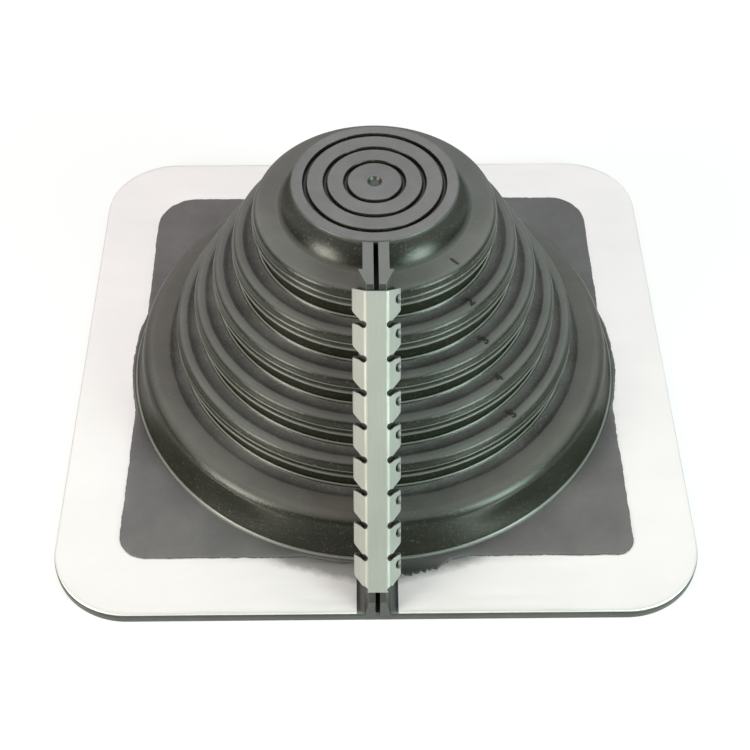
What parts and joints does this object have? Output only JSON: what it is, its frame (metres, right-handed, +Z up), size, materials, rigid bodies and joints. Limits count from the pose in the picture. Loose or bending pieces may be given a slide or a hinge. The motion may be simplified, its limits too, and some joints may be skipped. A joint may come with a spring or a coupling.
{
  "type": "pipe flashing boot",
  "caption": "Stepped rubber roof boot for a pipe: closed ringed cone on a square base with a soft aluminium ring, barbed lips down its front and a notched folded channel that grips them.",
  "frame": {"origin": "middle of the base's underside, below the cone's axis", "axes": "+Z up along the cone's axis, -Y towards the barbed lips and their channel, +X to the right seen from that side"},
  "size_m": [0.2036, 0.2036, 0.0884],
  "materials": {
    "rubber": "satin moulded EPDM rubber",
    "soft_aluminium": "soft bright sheet, faintly rolled",
    "channel_metal": "satin folded strip"
  },
  "bodies": {
    "root": {"boot": "rubber", "base_ring": "soft_aluminium", "closure_channel": "channel_metal"}
  },
  "joints": []
}
